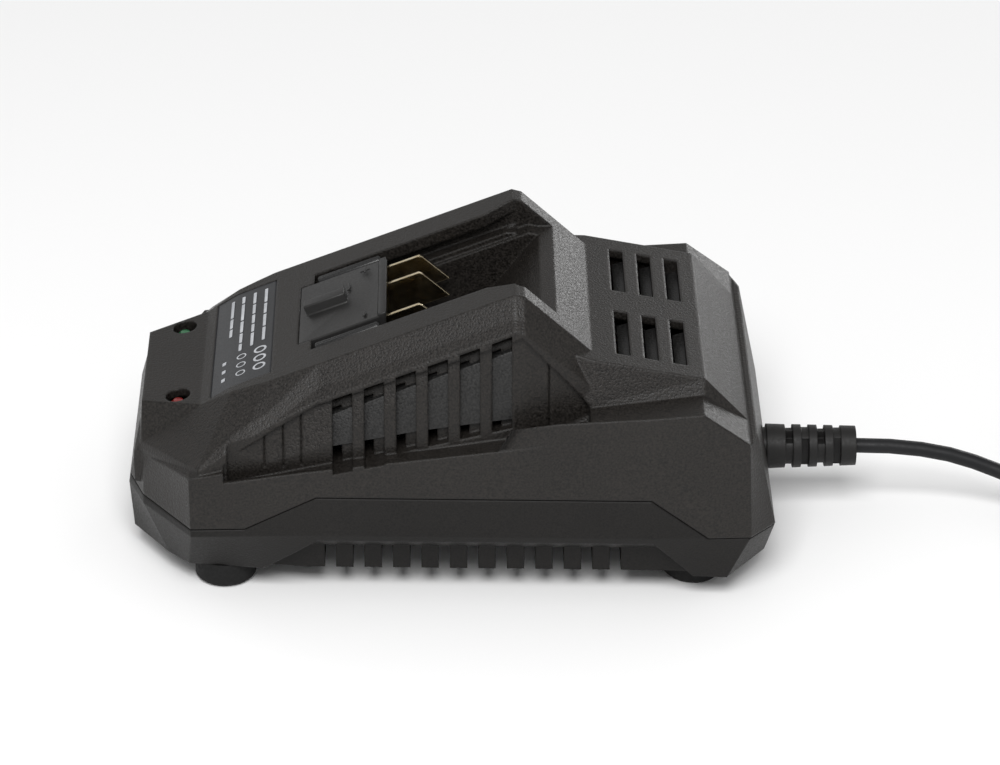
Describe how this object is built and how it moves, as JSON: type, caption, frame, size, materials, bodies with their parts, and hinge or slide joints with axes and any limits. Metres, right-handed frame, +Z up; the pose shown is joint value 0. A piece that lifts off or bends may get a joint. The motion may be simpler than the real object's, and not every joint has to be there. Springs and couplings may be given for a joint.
{
  "type": "power tool battery charger",
  "caption": "Desktop mains charger for slide-on power tool batteries: sloped battery bay with contact blades, vented black housing, status lamps, rubber feet and mains lead.",
  "frame": {"origin": "on the table under the middle of the housing, at the underside of the rubber feet", "axes": "+X from the lamp end to the cord end, +Y to the far side with the green lamp, +Z up"},
  "size_m": [0.3616, 0.1507, 0.0889],
  "materials": {
    "housing_black": "fine texture on the sides, smooth satin top",
    "base_black": "smooth satin",
    "foot_rubber": "matt",
    "screw_steel": "zinc plated",
    "block_black": "fine texture",
    "blade_metal": "nickel plated",
    "label_film": "satin film with plain pale bars and rings",
    "lens_red": "tinted diffused",
    "lens_green": "tinted diffused",
    "laminate": "solder mask",
    "bobbin_black": "satin",
    "ferrite": "ground ferrite",
    "winding_tape": "wound tape",
    "can_sleeve": "shrink sleeve",
    "film_box": "moulded box",
    "sink_aluminium": "mill finish",
    "epoxy_black": "moulded epoxy",
    "fuse_glass": "clear with plated caps",
    "clip_brass": "tinned",
    "wire_red": "insulation",
    "wire_black": "insulation",
    "wire_yellow": "insulation",
    "wire_brown": "insulation",
    "wire_blue": "insulation",
    "ribbon_grey": "ribbon",
    "clamp_nylon": "moulded nylon",
    "relief_black": "matt",
    "cord_black": "satin",
    "plug_black": "satin",
    "pin_metal": "nickel plated"
  },
  "bodies": {
    "root": {"blade_negative": "blade_metal", "blade_positive": "blade_metal", "blade_sense": "blade_metal", "board_screws": "screw_steel", "bridge_rectifier": "epoxy_black", "bulk_capacitor": "can_sleeve", "clamp_screws": "screw_steel", "control_chip": "epoxy_black", "cord": "cord_black", "cord_clamp": "clamp_nylon", "cord_coil": "cord_black", "cord_tail": "cord_black", "diode_heat_sink": "sink_aluminium", "filter_capacitor": "film_box", "foot_front_far": "foot_rubber", "foot_front_near": "foot_rubber", "foot_rear_far": "foot_rubber", "foot_rear_near": "foot_rubber", "fuse": "fuse_glass", "fuse_clips": "clip_brass", "housing_screws": "screw_steel", "lamp_board": "laminate", "lamp_board_screws": "screw_steel", "lamp_green": "lens_green", "lamp_red": "lens_red", "lead_negative": "wire_black", "lead_positive": "wire_red", "lead_sense": "wire_yellow", "lower_housing": "base_black", "main_board": "laminate", "mains_wire_live": "wire_brown", "mains_wire_neutral": "wire_blue", "optocoupler": "epoxy_black", "output_capacitors": "can_sleeve", "output_choke": "ferrite", "output_diode": "epoxy_black", "plug_body": "plug_black", "plug_pins": "pin_metal", "rating_label": "label_film", "ribbon_cable": "ribbon_grey", "strain_relief": "relief_black", "switch_heat_sink": "sink_aluminium", "switch_transistor": "epoxy_black", "terminal_block": "block_black", "transformer_bobbin": "bobbin_black", "transformer_core": "ferrite", "transformer_winding": "winding_tape", "upper_housing": "housing_black"}
  },
  "joints": []
}
